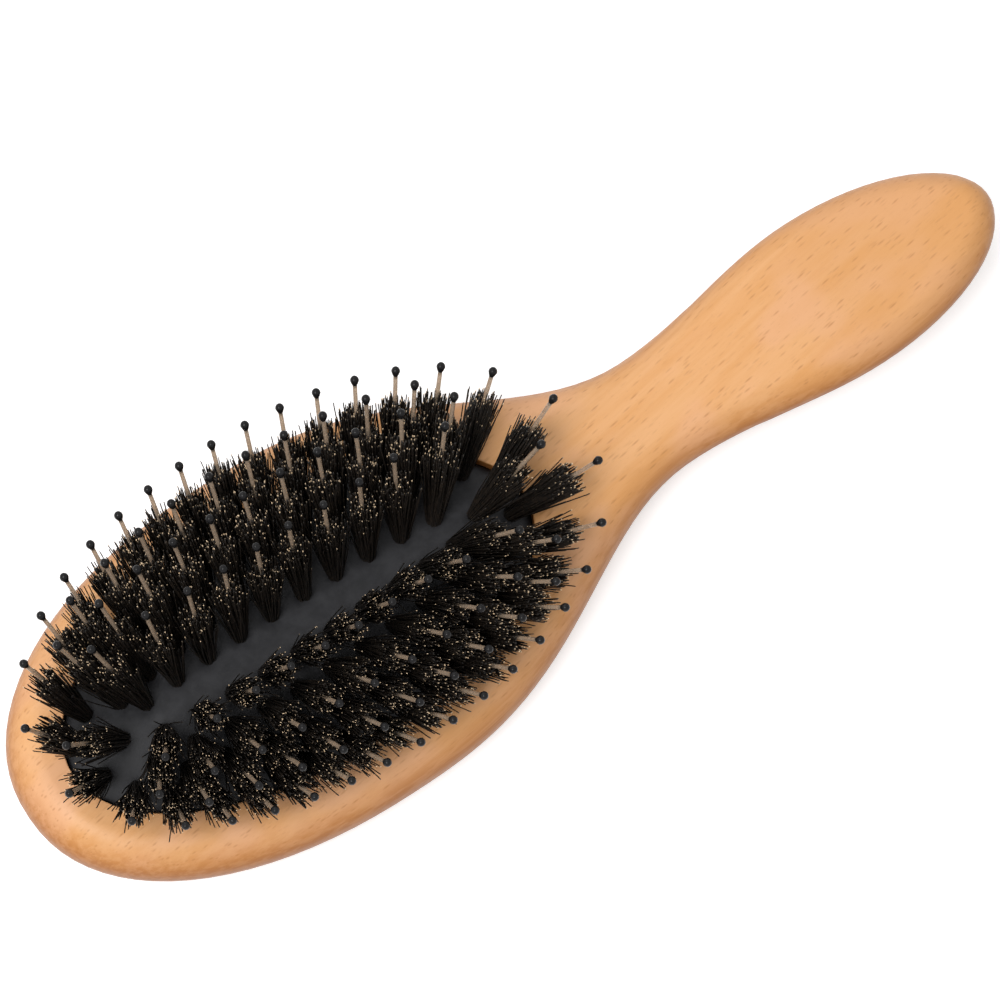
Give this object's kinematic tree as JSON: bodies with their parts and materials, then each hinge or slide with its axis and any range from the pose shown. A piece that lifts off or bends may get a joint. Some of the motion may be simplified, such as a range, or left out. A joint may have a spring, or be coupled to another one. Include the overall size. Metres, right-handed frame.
{
  "type": "paddle brush",
  "caption": "Oval cushion hair brush: beech body and handle, air-backed rubber cushion, and rows of bristle tufts with ball-tipped pins that press in and spring back.",
  "frame": {"origin": "centre of the overall box, at the flat back that the brush rests on", "axes": "+X from the head tip to the handle end, +Z from the back towards the bristles"},
  "size_m": [0.225, 0.073, 0.0444],
  "materials": {
    "beech": "satin oiled",
    "rubber": "matte",
    "lining": "woven",
    "ring": "raw",
    "foam": "open-cell",
    "nylon": "translucent",
    "ball_tip": "gloss",
    "bristle": "bristle",
    "clip": "matte"
  },
  "bodies": {
    "brush_body": {"wooden_body": "beech", "cushion": "rubber", "cushion_lining": "lining", "rim_ring": "ring", "foam_pad": "foam"},
    "outer_row": {"pins_outer": "nylon", "balls_outer": "ball_tip", "tufts_outer": "bristle", "clips_outer": "clip"},
    "second_row": {"pins_second": "nylon", "balls_second": "ball_tip", "tufts_second": "bristle", "clips_second": "clip"},
    "third_row": {"pins_third": "nylon", "balls_third": "ball_tip", "tufts_third": "bristle", "clips_third": "clip"},
    "inner_row": {"pins_inner": "nylon", "balls_inner": "ball_tip", "tufts_inner": "bristle", "clips_inner": "clip"}
  },
  "joints": [
    {"name": "press_outer", "type": "slide", "parent": "brush_body", "child": "outer_row", "axis": [0, 0, 1], "range_m": [-0.00228, 0], "stiffness_N_per_m": 3000},
    {"name": "press_second", "type": "slide", "parent": "brush_body", "child": "second_row", "axis": [0, 0, 1], "range_m": [-0.00316, 0]},
    {"name": "press_third", "type": "slide", "parent": "brush_body", "child": "third_row", "axis": [0, 0, 1], "range_m": [-0.00368, 0]},
    {"name": "press_inner", "type": "slide", "parent": "brush_body", "child": "inner_row", "axis": [0, 0, 1], "range_m": [-0.00394, 0], "deforming": ["cushion", "cushion_lining"]}
  ],
  "couplings": [
    {"joint": "press_second", "follows": "press_outer", "ratio": 1.3845},
    {"joint": "press_third", "follows": "press_outer", "ratio": 1.6143},
    {"joint": "press_inner", "follows": "press_outer", "ratio": 1.7274}
  ]
}
